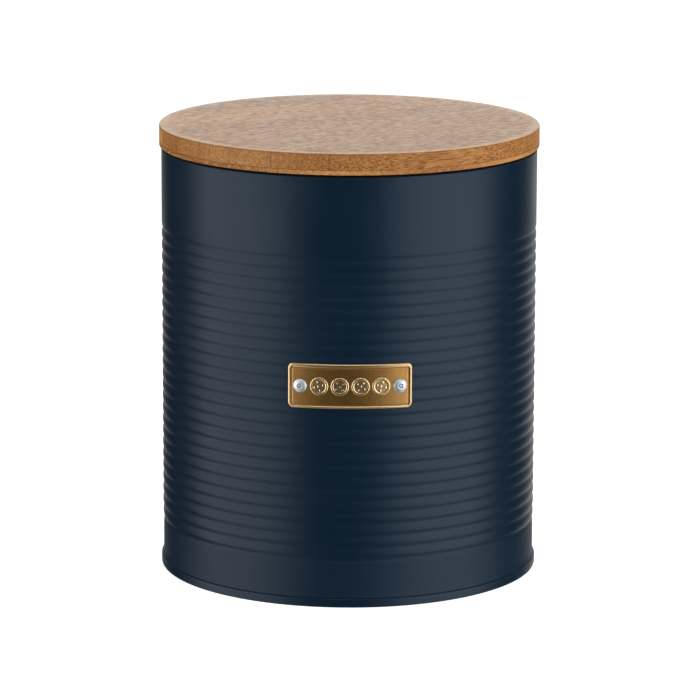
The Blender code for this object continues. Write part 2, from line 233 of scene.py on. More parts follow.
def rounded(path, radius, steps):
    """The path with its inner corners turned into arcs of up to the given radius."""
    points = [Vector(point) for point in path]
    out = [points[0]]
    for before, corner, after in zip(points, points[1:], points[2:]):
        to_before = before - corner
        to_after = after - corner
        turn = pi - to_before.angle(to_after)
        if turn < STRAIGHT_ENOUGH:
            out.append(corner)
            continue
        room = ARC_SHARE * min(to_before.length, to_after.length)
        reach = min(radius * tan(turn / 2), room)
        arc_radius = reach / tan(turn / 2)
        bisector = (to_before.normalized() + to_after.normalized()).normalized()
        middle = corner + bisector * (arc_radius / cos(turn / 2))
        start = corner + to_before.normalized() * reach - middle
        end = corner + to_after.normalized() * reach - middle
        for step in range(steps + 1):
            share = step / steps
            spoke = start.lerp(end, share).normalized() * arc_radius
            out.append(middle + spoke)
    out.append(points[-1])
    return [tuple(point) for point in out]


def back_face(path, thickness):
    """The other face of a sheet whose outer face runs along the path."""
    points = [Vector(point) for point in path]
    normals = []
    for first, second in zip(points, points[1:]):
        along = (second - first).normalized()
        normals.append(Vector((-along.y, along.x)))
    back = []
    for i, point in enumerate(points):
        before = normals[max(i - 1, 0)]
        after = normals[min(i, len(normals) - 1)]
        back.append(tuple(point - (before + after) * thickness / (1 + before.dot(after))))
    return back


def step_between(low, high, value):
    """A soft step, 0 up to the low value and 1 from the high one."""
    share = min(1.0, max(0.0, (value - low) / (high - low)))
    return share * share * (3 - 2 * share)


def ridge(distance, half_width):
    """A rounded ridge, 1 at its crest and 0 from half its width."""
    if abs(distance) >= half_width:
        return 0.0
    return 0.5 + 0.5 * cos(pi * distance / half_width)


# ---------------------------------------------------------------- tin


def groove_heights():
    """The grooves' middles, from the highest down."""
    count = int((MOUTH_HEIGHT - TOP_BAND - BOTTOM_BAND) / GROOVE_PITCH) + 1
    return [MOUTH_HEIGHT - TOP_BAND - i * GROOVE_PITCH for i in range(count)]


def groove_points(places):
    """The ribbed band's outer face: grooves with a cosine section, stepping in at the lowest one."""
    points = []
    heights = groove_heights()
    for number, height in enumerate(heights):
        for place in places:
            down = number / (len(heights) - 1) + place / len(heights) / 2
            step_in = max(0.0, down - STEP_IN_START) / (1 - STEP_IN_START)
            land = TIN_RADIUS - step_in * (TIN_RADIUS - LOWER_RADIUS)
            depth = GROOVE_DEPTH * ridge(place, 1.0)
            points.append((land - depth, height - place * GROOVE_HALF))
    return points


def wall_path(places, curl_steps):
    """The wall's outer face, from the curl's inner end down to the body hook in the seam."""
    points = []
    for step in range(curl_steps + 1):
        angle = CURL_TURN * (1 - step / curl_steps)
        radius = TIN_RADIUS - CURL_RADIUS + CURL_RADIUS * cos(angle)
        points.append((radius, MOUTH_HEIGHT - CURL_RADIUS + CURL_RADIUS * sin(angle)))
    points.append((TIN_RADIUS, MOUTH_HEIGHT - 0.3 * TOP_BAND))
    points.append((TIN_RADIUS, MOUTH_HEIGHT - 0.8 * TOP_BAND))
    points += groove_points(places)
    hook = LOWER_RADIUS + 2 * LAYER_GAP + SHEET
    bend = 2 * SHEET + LAYER_GAP
    foot = [
        (LOWER_RADIUS, BOTTOM_BAND - 4.0 * MM),
        (LOWER_RADIUS, SEAM_HEIGHT + 4.0 * MM),
        (LOWER_RADIUS + 0.08 * MM, SEAM_HEIGHT + 2.0 * MM),
        (LOWER_RADIUS + 0.3 * MM, SEAM_HEIGHT + 0.7 * MM),
        (LOWER_RADIUS + 0.42 * MM, SEAM_HEIGHT + 0.14 * MM),
        (LOWER_RADIUS + 0.36 * MM, SEAM_HEIGHT + 0.05 * MM),
        (LOWER_RADIUS, SEAM_HEIGHT + 0.05 * MM),
        (LOWER_RADIUS, bend),
        (hook, bend),
        (hook, SEAM_HEIGHT - SHEET - 0.4 * MM),
    ]
    return points + rounded(foot, SEAM_BEND, 2)


def weld_ripple(angle, height):
    """The lap weld stands a little proud in a narrow band at the back."""
    if not SEAM_HEIGHT < height < MOUTH_HEIGHT - 3 * CURL_RADIUS:
        return 0.0
    return WELD_RISE * ridge((angle - pi / 2) * TIN_RADIUS, WELD_HALF)


def make_wall(material):
    """The wall as one turned sheet, with its columns closer together at the weld."""
    weld = [pi / 2 + WELD_HALF / TIN_RADIUS * share for share in (-1, -0.5, 0, 0.5, 1)]
    plain = [angle for angle in even_angles(AROUND) if abs(angle - pi / 2) > WELD_CLEAR]
    angles = sorted(weld + plain)
    outside = wall_path(OUTER_GROOVE_PLACES, OUTER_CURL_STEPS)
    inside = back_face(wall_path(INNER_GROOVE_PLACES, INNER_CURL_STEPS), SHEET)
    vertices, faces = turned_parts([*outside, *reversed(inside)], angles, True, weld_ripple)
    smooth_object("tin_wall", vertices, faces, material, "tin", ["body_wall"])


def bottom_path():
    """The bottom end's upper face: its raised ring, its panel and the foot of the chuck wall."""
    chuck = LOWER_RADIUS - SHEET - LAYER_GAP
    panel = LOWER_RADIUS - PANEL_INSET
    ring = LOWER_RADIUS - RING_INSET
    return [
        (0.0, BASE_HEIGHT),
        (ring - RING_OUTER_HALF, BASE_HEIGHT),
        (ring - RING_INNER_HALF, BASE_HEIGHT + RING_RISE),
        (ring + RING_INNER_HALF, BASE_HEIGHT + RING_RISE),
        (ring + RING_OUTER_HALF, BASE_HEIGHT),
        (panel, BASE_HEIGHT),
        (panel + PANEL_SLOPE, BASE_HEIGHT + PANEL_RISE),
        (chuck - 0.1 * MM, BASE_HEIGHT + PANEL_RISE),
        (chuck, SHEET),
    ]


def seam_path():
    """The seam's cover hook, from the foot of the chuck wall round to its inner end."""
    hook = LOWER_RADIUS + LAYER_GAP + SHEET
    cover = SEAM_RADIUS - SHEET
    return [
        (LOWER_RADIUS - SHEET - LAYER_GAP, SHEET),
        (cover, SHEET),
        (cover, SEAM_HEIGHT - SHEET),
        (hook, SEAM_HEIGHT - SHEET),
        (hook, HOOK_END),
    ]


def make_bottom(material):
    shaped = rounded(bottom_path(), 1.2 * MM, 5) + rounded(seam_path(), 0.42 * MM, 6)[1:]
    profile = [*shaped, *reversed(back_face(shaped, SHEET))]
    vertices, faces = turned_parts(profile, even_angles(AROUND), False)
    smooth_object("bottom_end", vertices, faces, material, "tin", ["base_end"])


# ---------------------------------------------------------------- nameplate


def outline_distance(x, z):
    """Distance inside the plate's rounded outline, negative outside, and its outward direction."""
    half_x = PLATE_HALF_ARC - PLATE_CORNER
    half_z = PLATE_HALF_HEIGHT - PLATE_CORNER
    past_x = abs(x) - half_x
    past_z = abs(z) - half_z
    beyond = hypot(max(past_x, 0.0), max(past_z, 0.0))
    distance = PLATE_CORNER - beyond - min(max(past_x, past_z), 0.0)
    if beyond > 0:
        outward = Vector((max(past_x, 0.0) / beyond, max(past_z, 0.0) / beyond))
    elif past_x > past_z:
        outward = Vector((1.0, 0.0))
    else:
        outward = Vector((0.0, 1.0))
    return distance, outward.x * (1 if x >= 0 else -1), outward.y * (1 if z >= 0 else -1)


def past_edge(edge, radius):
    """0 inside an edge of a biscuit's rim and 1 outside it."""
    return step_between(edge - RIM_SLOPE_IN, edge + RIM_SLOPE_OUT, radius)


def biscuit_relief(x, z):
    """The biscuits' relief: each a raised scalloped rim round a flat face with chips on it."""
    middle = BISCUIT_PITCH * (round(x / BISCUIT_PITCH - 0.5) + 0.5)
    limit = BISCUIT_PITCH * (BISCUIT_COUNT - 1) / 2
    middle = min(limit, max(-limit, middle))
    across = x - middle
    radius = hypot(across, z)
    if radius > BISCUIT_RADIUS + 0.3 * MM:
        return 0.0
    scallop = SCALLOP_DEPTH * cos(SCALLOP_COUNT * atan2(z, across))
    rim = past_edge(BISCUIT_RADIUS - BISCUIT_RIM, radius)
    relief = LIP_HEIGHT * (1 - past_edge(BISCUIT_RADIUS - RIM_SLOPE_OUT + scallop, radius))
    relief *= BISCUIT_FACE + (1 - BISCUIT_FACE) * rim
    turn = CHIP_TURN * middle / BISCUIT_PITCH
    chips = [(MIDDLE_CHIP_REACH, turn)]
    chips += [(CHIP_REACH, turn + spoke) for spoke in even_angles(CHIP_COUNT)]
    for reach, direction in chips:
        from_chip = hypot(across - reach * cos(direction), z - reach * sin(direction))
        relief += CHIP_RISE * LIP_HEIGHT * ridge(from_chip, CHIP_HALF)
    return relief


def plate_relief(x, z):
    """Height of the plate's front over its flat field: a raised lip, then a pressed groove."""
    inside = outline_distance(x, z)[0]
    pressed = outline_distance(x, z + LIP_DROP)[0]
    lip = LIP_HEIGHT * (1 - step_between(LIP_WIDTH - LIP_SLOPE, LIP_WIDTH, pressed))
    groove = PRESSED_DEPTH * ridge(pressed - LIP_WIDTH - PRESSED_INSET, PRESSED_HALF)
    fall = EDGE_FALL * (1 - step_between(-0.1 * MM, 0.5 * MM, inside))
    return lip - groove - fall + biscuit_relief(x, z)


def plate_point(x, z, radius):
    """The point at x along the plate's arc and z above its middle, so far from the tin's axis."""
    angle = x / PLATE_FIELD
    return (radius * sin(angle), -radius * cos(angle), PLATE_MIDDLE + z)


def plate_cells(columns, rows, outside):
    """The grid's cells that have a corner on the plate."""
    cells = []
    for row in range(rows):
        for column in range(columns):
            first = row * (columns + 1) + column
            corners = [first, first + 1, first + columns + 2, first + columns + 1]
            if not all(outside[i] for i in corners):
                cells.append(corners)
    return cells


def closed_sheet(front, shift):
    """The front's faces, the same ones on the back, and the walls along their border."""
    sides = {}
    for corners in front:
        sides.update(dict.fromkeys(zip(corners, corners[1:] + corners[:1])))
    border = [(a, b) for a, b in sides if (b, a) not in sides]
    back = [[i + shift for i in reversed(corners)] for corners in front]
    walls = [[b, a, a + shift, b + shift] for a, b in border]
    return front + back + walls


def make_plate(material):
    """The stamped plate: a fine grid cut to its rounded outline, with its relief on the front."""
    columns = ceil(2 * PLATE_HALF_ARC / PLATE_CELL)
    rows = ceil(2 * PLATE_HALF_HEIGHT / PLATE_CELL)
    front = []
    back = []
    outside = []
    for row in range(rows + 1):
        for column in range(columns + 1):
            x = PLATE_HALF_ARC * (2 * column / columns - 1)
            z = PLATE_HALF_HEIGHT * (2 * row / rows - 1)
            inside, out_x, out_z = outline_distance(x, z)
            outside.append(inside < -ON_OUTLINE)
            if inside < 0:
                x += out_x * inside
                z += out_z * inside
            front.append(plate_point(x, z, PLATE_FIELD + plate_relief(x, z)))
            back.append(plate_point(x, z, PLATE_BACK))
    faces = closed_sheet(plate_cells(columns, rows, outside), len(front))
    mesh = bpy.data.meshes.new("plate")
    mesh.from_pydata(front + back, [], faces)
    tidy_mesh(mesh)
    finish_mesh("brass_plate", mesh, material, "tin", ["nameplate"], 50)


def tidy_mesh(mesh):
    """Drops loose points and merges the ones that fell on each other."""
    bm = bmesh.new()
    bm.from_mesh(mesh)
    loose = [v for v in bm.verts if not v.link_faces]
    bmesh.ops.delete(bm, geom=loose, context="VERTS")
    bmesh.ops.remove_doubles(bm, verts=bm.verts, dist=MERGE_DISTANCE)
    bmesh.ops.recalc_face_normals(bm, faces=bm.faces)
    bm.to_mesh(mesh)
    bm.free()


# ---------------------------------------------------------------- rivets


def sleeve_profile(grip):
    """A blind rivet's sleeve: its bore's mouth, domed head, shank and blind bulb."""
    dome = (RIVET_HEAD**2 + RIVET_RISE**2) / (2 * RIVET_RISE)
    flat = RIVET_BORE + 0.4 * MM
    points = [
        (RIVET_BORE, RIVET_RISE - 0.3 * MM),
        (RIVET_BORE + 0.08 * MM, RIVET_RISE - 0.02 * MM),
    ]
    for step in range(HEAD_STEPS + 1):
        radius = flat + (RIVET_HEAD - flat) * sin(pi / 2 * step / HEAD_STEPS)
        points.append((radius, 0.25 * MM + RIVET_RISE - dome + sqrt(dome**2 - radius**2)))
    return points + [
        (RIVET_HEAD - 0.02 * MM, 0.12 * MM),
        (RIVET_HEAD - 0.15 * MM, 0.05 * MM),
        (RIVET_SHANK, 0.05 * MM),
        (RIVET_SHANK, -grip),
        (2.1 * MM, -grip - 0.1 * MM),
        (2.3 * MM, -grip - 0.7 * MM),
        (2.2 * MM, -grip - 1.3 * MM),
        (1.6 * MM, -grip - 2.1 * MM),
        (RIVET_BORE, -grip - 2.2 * MM),
    ]


def pin_profile(grip):
    """The broken stem: its rough end in the bore, and its head behind the bulb."""
    pin_radius = RIVET_BORE - 0.04 * MM
    return [
        (0.0, RIVET_RISE - 0.06 * MM),
        (0.4 * MM, RIVET_RISE - 0.03 * MM),
        (0.7 * MM, RIVET_RISE - 0.08 * MM),
        (pin_radius, RIVET_RISE - 0.25 * MM),
        (pin_radius, -grip - 2.3 * MM),
        (1.35 * MM, -grip - 2.4 * MM),
        (1.4 * MM, -grip - 3.0 * MM),
        (1.0 * MM, -grip - 3.6 * MM),
        (0.0, -grip - 3.7 * MM),
    ]


def make_rivet(side, sign, sleeve_material, pin_material):
    """A blind rivet through the plate and the wall, and the broken stem in its bore."""
    grip = PLATE_FIELD - TIN_RADIUS + SHEET + GROOVE_DEPTH + 0.3 * MM
    angle = sign * RIVET_SPACING / 2 / PLATE_FIELD
    sleeve = sleeve_profile(grip)
    pin = pin_profile(grip)
    pieces = (
        (f"rivet_sleeve_{side}", sleeve, True, sleeve_material, f"rivet_{side}", "rivet_alloy"),
        (f"rivet_pin_{side}", pin, False, pin_material, f"rivet_mandrel_{side}", "mandrel_steel"),
    )
    for name, profile, closed, material, node, slot in pieces:
        vertices, faces = turned_parts(profile, even_angles(RIVET_AROUND), closed)
        stood = []
        for x, y, z in vertices:
            depth = PLATE_FIELD + z
            across = x * cos(angle) + depth * sin(angle)
            stood.append((across, x * sin(angle) - depth * cos(angle), PLATE_MIDDLE + y))
        smooth_object(name, stood, faces, material, "tin", [node], 40)


# ---------------------------------------------------------------- lid


def stave_joints():
    """Where the joints between staves cross the lid, measured from its axis."""
    reach = int(LID_RADIUS / STAVE_WIDTH) + 1
    places = [STAVE_SHIFT + (i + 0.5) * STAVE_WIDTH for i in range(-reach - 1, reach + 1)]
    return [place for place in places if abs(place) < LID_RADIUS - NARROWEST_STAVE]


def board_profile(low, high, low_edge, high_edge):
    """Half a section of a round board, its edges eased by quarter arcs of the given radii."""
    points = [(0.0, high)]
    for step in range(EDGE_STEPS + 1 if high_edge else 1):
        turn = pi / 2 * step / EDGE_STEPS
        out = LID_RADIUS - high_edge * (1 - sin(turn))
        points.append((out, high - high_edge * (1 - cos(turn))))
    for step in range(EDGE_STEPS + 1 if low_edge else 1):
        turn = pi / 2 * step / EDGE_STEPS
        out = LID_RADIUS - low_edge * (1 - cos(turn))
        points.append((out, low + low_edge * (1 - sin(turn))))
    points.append((0.0, low))
    return points


def cut_board(mesh, first, last):
    """Keeps what lies between two joints, and closes the cuts."""
    normal = Vector((sin(GRAIN_ANGLE), -cos(GRAIN_ANGLE), 0.0))
    bm = bmesh.new()
    bm.from_mesh(mesh)
    for place, side in ((first + STAVE_GAP / 2, -1), (last - STAVE_GAP / 2, 1)):
        if abs(place) > LID_RADIUS:
            continue
        everything = [*bm.verts, *bm.edges, *bm.faces]
        cut = bmesh.ops.bisect_plane(
            bm, geom=everything, plane_co=normal * place, plane_no=normal * side,
            clear_outer=True,
        )
        rim = [e for e in cut["geom_cut"] if isinstance(e, bmesh.types.BMEdge)]
        bmesh.ops.edgeloop_fill(bm, edges=rim)
    bmesh.ops.recalc_face_normals(bm, faces=bm.faces)
    bm.to_mesh(mesh)
    bm.free()


def make_staves(material):
    """The upper layer: one round board cut along the joints between its staves."""
    edges = [-2 * LID_RADIUS, *stave_joints(), 2 * LID_RADIUS]
    profile = board_profile(PLY_TOP + GLUE_HALF, LID_TOP, 0.0, LID_TOP_EDGE)
    vertices, faces = turned_parts(profile, even_angles(LID_AROUND), False)
    for i, (first, last) in enumerate(zip(edges, edges[1:])):
        mesh = bpy.data.meshes.new(f"stave_{i + 1}")
        mesh.from_pydata(vertices, [], faces)
        cut_board(mesh, first, last)
        node = f"lid_stave_{i + 1}"
        finish_mesh(f"bamboo_stave_{i + 1}", mesh, material, "lid", [node], 30)


def make_ply(material):
    profile = board_profile(LID_BOTTOM, PLY_TOP - GLUE_HALF, LID_LOW_EDGE, 0.0)
    vertices, faces = turned_parts(profile, even_angles(LID_AROUND), False)
    smooth_object(
        "bamboo_ply", vertices, faces, material, "lid", ["lid_cross_ply"], 30
    )


def make_plug(material):
    """The plug, with the groove that the seal sits in."""
    groove_top = SEAL_TOP + SEAL_ROOM
    groove_bottom = SEAL_BOTTOM - SEAL_ROOM
    floor_radius = PLUG_RADIUS - SEAL_SEAT
    path = [
        (0.0, PLUG_TOP),
        (PLUG_RADIUS, PLUG_TOP),
        (PLUG_RADIUS, groove_top),
        (floor_radius, groove_top),
        (floor_radius, groove_bottom),
        (PLUG_RADIUS, groove_bottom),
        (PLUG_RADIUS, PLUG_BOTTOM + PLUG_CHAMFER),
        (PLUG_RADIUS - PLUG_CHAMFER, PLUG_BOTTOM),
        (0.0, PLUG_BOTTOM),
    ]
    profile = rounded(path, 0.35 * MM, 4)
    vertices, faces = turned_parts(profile, even_angles(AROUND), False)
    smooth_object("bamboo_plug", vertices, faces, material, "lid", ["lid_plug"], 30)


def make_seal(material):
    """The silicone ring with its two slanted lips."""
    inside = PLUG_RADIUS - SEAL_INSET
    band = inside + SEAL_BAND
    height = SEAL_TOP - SEAL_BOTTOM
    path = [(inside, SEAL_TOP), (band, SEAL_TOP)]
    for number in range(2):
        root = SEAL_TOP - (number + 0.5) * height / 2
        path += [
            (band, root + SEAL_LIP_ROOT),
            (SEAL_TIP, root + 0.7 * MM),
            (SEAL_TIP, root + 0.3 * MM),
            (band, root - SEAL_LIP_ROOT),
        ]
    path += [(band, SEAL_BOTTOM), (inside, SEAL_BOTTOM)]
    profile = rounded(path, 0.2 * MM, 4)
    vertices, faces = turned_parts(profile, even_angles(AROUND), True)
    smooth_object("silicone_seal", vertices, faces, material, "seal", ["lid_seal"], 30)


# ---------------------------------------------------------------- materials


def opaque(value):
    """A colour with its alpha; anything else as it is."""
    return (*value, 1.0) if isinstance(value, tuple) and len(value) == 3 else value


class NodeMaker:
    """Short calls that make and link the nodes of one tree."""

    def __init__(self, tree):
        self.tree = tree

    def node(self, kind, settings=None, **inputs):
        made = self.tree.nodes.new(kind)
        for key, value in (settings or {}).items():
            setattr(made, key, value)
        for key, value in inputs.items():
            self.put(made, key, value)
        return made

    def put(self, node, key, value):
        """Sets or links an input, named by its label or, as in i2, by its number."""
        socket = node.inputs[int(key[1:])] if key[0] == "i" and key[1:].isdigit() else None
        socket = socket or node.inputs[key.replace("_", " ")]
        if isinstance(value, bpy.types.NodeSocket):
            self.tree.links.new(value, socket)
        else:
            socket.default_value = value

    def math(self, operation, *values):
        made = self.node("ShaderNodeMath", {"operation": operation})
        for i, value in enumerate(values):
            self.put(made, f"i{i}", value)
        return made.outputs[0]

    def position(self, scale=(1, 1, 1), turn=0.0):
        """The piece's own coordinates, turned round Z and then scaled."""
        point = self.node("ShaderNodeTexCoord").outputs["Object"]
        if turn:
            point = self.node(
                "ShaderNodeMapping", {"vector_type": "POINT"}, Vector=point, Rotation=(0, 0, turn)
            ).outputs[0]
        return self.node(
            "ShaderNodeMapping", {"vector_type": "POINT"}, Vector=point, Scale=scale
        ).outputs[0]

    def length(self, x, y):
        """How far the point (x, y) is from the tin's axis."""
        squares = [self.math("MULTIPLY", part, part) for part in (x, y)]
        return self.math("SQRT", self.math("ADD", *squares))

    def noise(self, vector, scale, detail, roughness, distortion=0.0):
        made = self.node(
            "ShaderNodeTexNoise", Vector=vector, Scale=scale, Detail=detail,
            Roughness=roughness, Distortion=distortion,
        )
        return made.outputs[0]

    def remap(self, value, low, high, to_low=0.0, to_high=1.0, kind="SMOOTHSTEP"):
        made = self.node(
            "ShaderNodeMapRange", {"interpolation_type": kind},
            i0=value, i1=low, i2=high, i3=to_low, i4=to_high,
        )
        return made.outputs[0]

    def mix(self, share, first, second, blend="MIX"):
        made = self.node("ShaderNodeMix", {"data_type": "RGBA", "blend_type": blend})
        for index, value in ((0, share), (6, first), (7, second)):
            self.put(made, f"i{index}", opaque(value))
        return made.outputs[2]


class Shader(NodeMaker):
    """A material with one Principled surface."""

    def __init__(self, name):
        self.material = bpy.data.materials.new(name)
        self.material.use_nodes = True
        super().__init__(self.material.node_tree)
        self.surface = self.tree.nodes["Principled BSDF"]

    def bump(self, height, strength, distance):
        made = self.node("ShaderNodeBump", Height=height, Strength=strength, Distance=distance)
        self.put(self.surface, "Normal", made.outputs[0])

    def set(self, **values):
        for key, value in values.items():
            self.put(self.surface, key, opaque(value))


# Colours, linear
NAVY_DEEP = (0.0009, 0.0088, 0.0215)
NAVY_LIGHT = (0.0018, 0.0112, 0.0260)
# Painted shade for the curl under the lid's overhang
CURL_PAINTED_SHADE = (0.0012, 0.0010, 0.0008)
BRASS_DEEP = (0.295, 0.147, 0.030)
BRASS_WARM = (0.45, 0.241, 0.059)
BRASS_STROKE = (0.21, 0.102, 0.020)
BRASS_SUNK = (0.36, 0.16, 0.03)
BRASS_POLISHED = (1.0, 0.76, 0.42)
ALLOY_DULL = (0.52, 0.57, 0.63)
ALLOY_BRIGHT = (0.72, 0.77, 0.84)
STEEL_DARK = (0.26, 0.28, 0.31)
STEEL_PALE = (0.52, 0.56, 0.61)
WOOD_LIGHT = (0.50, 0.240, 0.078)
WOOD_DARK = (0.335, 0.140, 0.038)
WOOD_PALE = (0.60, 0.320, 0.125)
WOOD_RED = (0.34, 0.130, 0.036)
WOOD_FIBRE = (0.25, 0.095, 0.026)
# Dots of cut fibre bundles, and the painted shade on the lid top's eased corner
WOOD_BUNDLE_AND_EDGE_SHADE = (0.20, 0.070, 0.016)
WOOD_GLUE = (0.14, 0.050, 0.014)
# Painted highlight round the rim of the lid's top
WOOD_RIM_HIGHLIGHT = (0.66, 0.46, 0.28)
SILICONE_DULL = (0.74, 0.75, 0.74)
SILICONE_PALE = (0.82, 0.83, 0.82)

# How often the bamboo's light and dark bands come round across its grain, and where they start; the bands
# are partly the wood's own colour, partly painted shade that darkens the lid's side near its left edge
TONE_PERIOD = 80.0 * MM
TONE_START = 34.0 * MM

# Cells per metre of each bamboo pattern: along the grain, across it and upwards
FLECK_SCALE = (230, 1250, 1250)
STREAK_SCALE = (34, 1000, 1000)
CLOUD_SCALE = (22, 48, 48)
BUNDLE_SCALE = (60, 1250, 1250)


def navy_paint():
    """Satin powder paint: deep navy, duller on the foot band, and matt and near-black on the curl under
    the lid as painted shade.
    """
    shader = Shader("navy_paint")
    point = shader.position()
    cloud = shader.noise(point, 35.0, 3.0, 0.6)
    height = shader.node("ShaderNodeSeparateXYZ", Vector=point).outputs[2]
    # Painted shade: the curl under the lid's overhang is darkened towards black and made matt.
    curl = shader.remap(height, MOUTH_HEIGHT - 1.15 * MM, MOUTH_HEIGHT - 0.7 * MM)
    colour = shader.mix(curl, shader.mix(cloud, NAVY_DEEP, NAVY_LIGHT), CURL_PAINTED_SHADE)
    above_seam = shader.remap(height, SEAM_HEIGHT - 0.3 * MM, SEAM_HEIGHT + 0.3 * MM)
    foot = shader.remap(height, BOTTOM_BAND + 0.5 * MM, BOTTOM_BAND - 0.5 * MM, 0.0, 0.09)
    rough = shader.remap(cloud, 0.3, 0.7, 0.36, 0.41)
    rough = shader.math("ADD", rough, shader.math("MULTIPLY", above_seam, foot))
    rough = shader.remap(curl, 0.0, 1.0, rough, 0.95, "LINEAR")
    shader.set(Base_Color=colour, Roughness=rough)
    shader.set(Specular_IOR_Level=0.3, Specular_Tint=(0.72, 0.86, 1.0))
    shader.bump(shader.noise(point, 2600.0, 2.0, 0.6), 0.05, 0.04 * MM)
    return shader.material


def brush_strokes(shader, parts):
    """Fine strokes up and down the plate, whatever its curve."""
    angle = shader.math("ARCTAN2", parts[0], parts[1])
    arc = shader.math("MULTIPLY", angle, PLATE_FIELD)
    flat = shader.node("ShaderNodeCombineXYZ", X=arc, Z=parts[2]).outputs[0]
    strokes = shader.node(
        "ShaderNodeMapping", {"vector_type": "POINT"}, Vector=flat, Scale=(2600, 1, 110)
    ).outputs[0]
    return shader.noise(strokes, 1.0, 3.0, 0.7)


def brass():
    """Warm brass, brushed up and down on the field and polished on the relief's slopes."""
    shader = Shader("brass")
    point = shader.position()
    parts = shader.node("ShaderNodeSeparateXYZ", Vector=point).outputs
    brushed = brush_strokes(shader, parts)
    tarnish = shader.noise(point, 170.0, 4.0, 0.65)
    radius = shader.length(parts[0], parts[1])
    raised = shader.remap(radius, PLATE_FIELD + 0.03 * MM, PLATE_FIELD + 0.10 * MM)
    crest = shader.remap(radius, PLATE_FIELD + 0.15 * MM, PLATE_FIELD + 0.20 * MM, 1.0, 0.3)
    raised = shader.math("MULTIPLY", raised, crest)
    sunk = shader.remap(radius, PLATE_FIELD - 0.02 * MM, PLATE_FIELD - 0.12 * MM)
    field = shader.mix(tarnish, BRASS_DEEP, BRASS_WARM)
    field = shader.mix(shader.remap(brushed, 0.35, 0.65, 0.0, 0.5), field, BRASS_STROKE)
    field = shader.mix(sunk, field, BRASS_SUNK)
    colour = shader.mix(raised, field, BRASS_POLISHED)
    rough = shader.remap(brushed, 0.3, 0.7, 0.34, 0.48, "LINEAR")
    rough = shader.remap(raised, 0.0, 1.0, rough, 0.24, "LINEAR")
    shader.set(Base_Color=colour, Roughness=rough, Metallic=1.0)
    shader.set(Coat_Weight=0.6, Coat_Roughness=0.35)
    shader.bump(brushed, 0.25, 0.03 * MM)
    return shader.material


def rivet_alloy():
    """Drawn aluminium, cloudy and finely scuffed."""
    shader = Shader("rivet_alloy")
    point = shader.position()
    scuff = shader.noise(point, 1800.0, 3.0, 0.7)
    cloud = shader.noise(point, 420.0, 2.0, 0.5)
    rough = shader.remap(scuff, 0.3, 0.7, 0.40, 0.55, "LINEAR")
    shader.set(Base_Color=shader.mix(cloud, ALLOY_DULL, ALLOY_BRIGHT), Roughness=rough)
    shader.set(Metallic=1.0)
    shader.bump(scuff, 0.15, 0.05 * MM)
    return shader.material


def mandrel_steel():
    """The torn end of a steel wire."""
    shader = Shader("mandrel_steel")
    broken = shader.noise(shader.position(), 2400.0, 4.0, 0.7)
    colour = shader.mix(broken, STEEL_DARK, STEEL_PALE)
    shader.set(Base_Color=colour, Metallic=1.0, Roughness=0.42)
    shader.bump(broken, 0.4, 0.1 * MM)
    return shader.material


def wood_tone_and_shade(shader, across, top):
    """Slow light and dark bands across the grain, weaker on the lid's top: partly the bamboo's own
    colour, partly painted shade that darkens the lid's side near its left edge.
    """
    swing = shader.math("MULTIPLY", across, 2 * pi / TONE_PERIOD)
    swing = shader.math("ADD", swing, 2 * pi * TONE_START / TONE_PERIOD)
    darkest = shader.remap(top, 0.0, 1.0, 0.0, 0.35)
    lightest = shader.remap(top, 0.0, 1.0, 1.0, 0.65)
    return shader.remap(shader.math("COSINE", swing), -1.0, 1.0, darkest, lightest, "LINEAR")


def wood_grain(shader, grain_angle, flecks, tone_and_shade, top):
    """The wood's colour: light and dark bands that are partly painted shade, streaks and flecks along the
    grain, dots of cut fibre bundles.
    """
    streaks = shader.noise(shader.position(STREAK_SCALE, -grain_angle), 1.0, 3.0, 0.6, 0.2)
    cloud = shader.noise(shader.position(CLOUD_SCALE, -grain_angle), 1.0, 3.0, 0.6)
    bundles = shader.node(
        "ShaderNodeTexVoronoi", {"feature": "F1"},
        Vector=shader.position(BUNDLE_SCALE, -grain_angle), Scale=1.0,
    ).outputs["Distance"]
    colour = shader.mix(tone_and_shade, WOOD_DARK, WOOD_LIGHT)
    colour = shader.mix(shader.remap(cloud, 0.35, 0.7, 0.0, 0.45), colour, WOOD_RED)
    colour = shader.mix(shader.remap(streaks, 0.46, 0.68, 0.0, 0.6), colour, WOOD_FIBRE)
    colour = shader.mix(shader.remap(streaks, 0.5, 0.34, 0.0, 0.4), colour, WOOD_PALE)
    clear = shader.remap(top, 0.0, 1.0, 0.5, 1.0)
    dark_flecks = shader.math("MULTIPLY", clear, shader.remap(flecks, 0.48, 0.66, 0.0, 0.85))
    pale_flecks = shader.math("MULTIPLY", clear, shader.remap(flecks, 0.5, 0.34, 0.0, 0.65))
    colour = shader.mix(dark_flecks, colour, WOOD_FIBRE)
    colour = shader.mix(pale_flecks, colour, WOOD_PALE)
    dotted = shader.remap(bundles, 0.48, 0.24, 0.0, 1.0)
    dotted = shader.math("MULTIPLY", dotted, shader.remap(tone_and_shade, 0.0, 0.8, 1.0, 0.15))
    return shader.mix(dotted, colour, WOOD_BUNDLE_AND_EDGE_SHADE)


